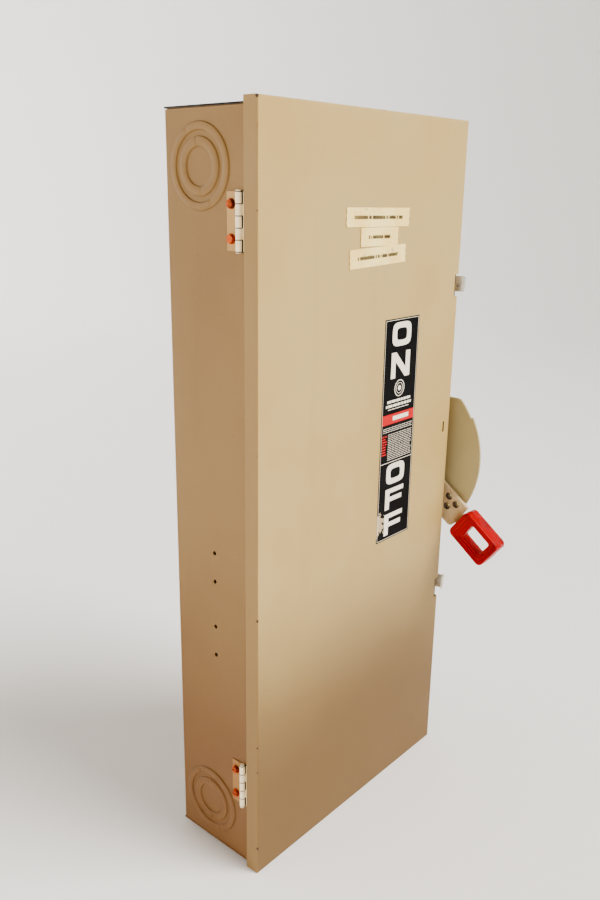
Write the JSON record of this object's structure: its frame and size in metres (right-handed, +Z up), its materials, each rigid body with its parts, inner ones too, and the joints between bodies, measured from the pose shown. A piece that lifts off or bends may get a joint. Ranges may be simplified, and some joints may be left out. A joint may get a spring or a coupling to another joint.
{
  "type": "fused disconnect switch",
  "caption": "Surface-mounted fused safety switch with a hinged door, side operating handle, knife blades and three knife-blade fuses.",
  "frame": {"origin": "middle of the four wall holes, in the plane of the back face", "axes": "+X right as seen facing the door, +Y into the wall, +Z up"},
  "size_m": [0.3671, 0.1982, 0.789],
  "materials": {
    "enclosure_paint": "satin",
    "door_paint": "satin",
    "zinc": "satin",
    "hinge_zinc": "satin",
    "copper_screw": "satin",
    "black_steel": "matte",
    "arm_steel": "satin",
    "grip_red": "gloss",
    "guard_paint": "satin",
    "moulded_black": "matte",
    "copper": "satin",
    "lug_metal": "satin",
    "fibre": "matte",
    "clear_plastic": "gloss",
    "fuse_paper": "satin",
    "label_black": "satin",
    "paper": "matte",
    "spring_steel": "satin"
  },
  "bodies": {
    "enclosure": {"enclosure_shell": "enclosure_paint", "top_end_wall": "enclosure_paint", "bottom_end_wall": "enclosure_paint", "hinge_leaves_box": "enclosure_paint", "hinge_pins": "hinge_zinc", "hinge_screws": "copper_screw", "latch_brackets": "zinc", "latch_pins": "zinc", "guard_plate": "guard_paint", "guard_screws": "zinc", "shaft_bushing": "zinc", "mounting_pan": "zinc", "pan_studs": "zinc", "line_base": "moulded_black", "centre_base": "moulded_black", "load_base": "moulded_black", "inner_screws": "zinc", "line_jaws": "copper", "hinge_posts": "copper", "blade_pivots": "zinc", "load_straps": "copper", "fuse_clips": "copper", "clip_springs": "spring_steel", "wire_lugs": "lug_metal", "lug_screws": "lug_metal", "arc_chutes": "fibre", "arc_plates": "zinc", "line_shield": "clear_plastic", "phase_barriers": "fibre", "mechanism_frame": "zinc", "mechanism_pins": "zinc", "ground_bar": "lug_metal"},
    "door": {"door_panel": "door_paint", "door_stiffeners": "door_paint", "latch_keepers": "black_steel", "interlock_tongue": "zinc", "switch_label": "label_black", "circuit_tags": "paper", "wiring_card": "paper", "hinge_leaves_door": "hinge_zinc"},
    "handle": {"handle_arm": "arm_steel", "handle_grip": "grip_red", "operating_shaft": "zinc", "shaft_nut": "zinc", "crank": "zinc", "drive_arm": "zinc", "drive_screws": "zinc", "crossbar": "moulded_black", "blades": "copper"},
    "guide": {"spring_guide": "zinc", "coil_spring": "spring_steel"},
    "lever": {"interlock_lever": "zinc"},
    "upper_latch": {"latch_upper": "zinc"},
    "lower_latch": {"latch_lower": "zinc"},
    "fuse_a": {"fuse_barrel_a": "fuse_paper", "fuse_ends_a": "copper"},
    "fuse_b": {"fuse_barrel_b": "fuse_paper", "fuse_ends_b": "copper"},
    "fuse_c": {"fuse_barrel_c": "fuse_paper", "fuse_ends_c": "copper"}
  },
  "joints": [
    {"name": "door_hinge", "type": "hinge", "parent": "enclosure", "child": "door", "pos_m": [-0.1682, -0.0988, 0], "axis": [0, 0, -1], "range_deg": [0, 150]},
    {"name": "handle_throw", "type": "hinge", "parent": "enclosure", "child": "handle", "pos_m": [0.18, -0.041, 0], "axis": [-1, 0, 0], "range_deg": [0, 74]},
    {"name": "guide_swing", "type": "hinge", "parent": "enclosure", "child": "guide", "pos_m": [0.126, -0.107, 0], "axis": [1, 0, 0], "range_deg": [0, 30.7]},
    {"name": "lever_swing", "type": "hinge", "parent": "enclosure", "child": "lever", "pos_m": [0.1525, -0.07, 0.006], "axis": [-1, 0, 0], "range_deg": [0, 10.1]},
    {"name": "upper_latch_swing", "type": "hinge", "parent": "enclosure", "child": "upper_latch", "pos_m": [0.17145, -0.075, 0.2155], "axis": [0, 0, 1], "range_deg": [-20, 40]},
    {"name": "lower_latch_swing", "type": "hinge", "parent": "enclosure", "child": "lower_latch", "pos_m": [0.17145, -0.075, -0.1695], "axis": [0, 0, 1], "range_deg": [-20, 40]},
    {"name": "fuse_a_pull", "type": "slide", "parent": "enclosure", "child": "fuse_a", "axis": [0, -1, 0], "range_m": [0, 0.045]},
    {"name": "fuse_b_pull", "type": "slide", "parent": "enclosure", "child": "fuse_b", "axis": [0, -1, 0], "range_m": [0, 0.045]},
    {"name": "fuse_c_pull", "type": "slide", "parent": "enclosure", "child": "fuse_c", "axis": [0, -1, 0], "range_m": [0, 0.045]}
  ],
  "couplings": [
    {"joint": "guide_swing", "follows": "handle_throw", "ratio": 0.41325},
    {"joint": "lever_swing", "follows": "handle_throw", "ratio": 0.13514}
  ]
}
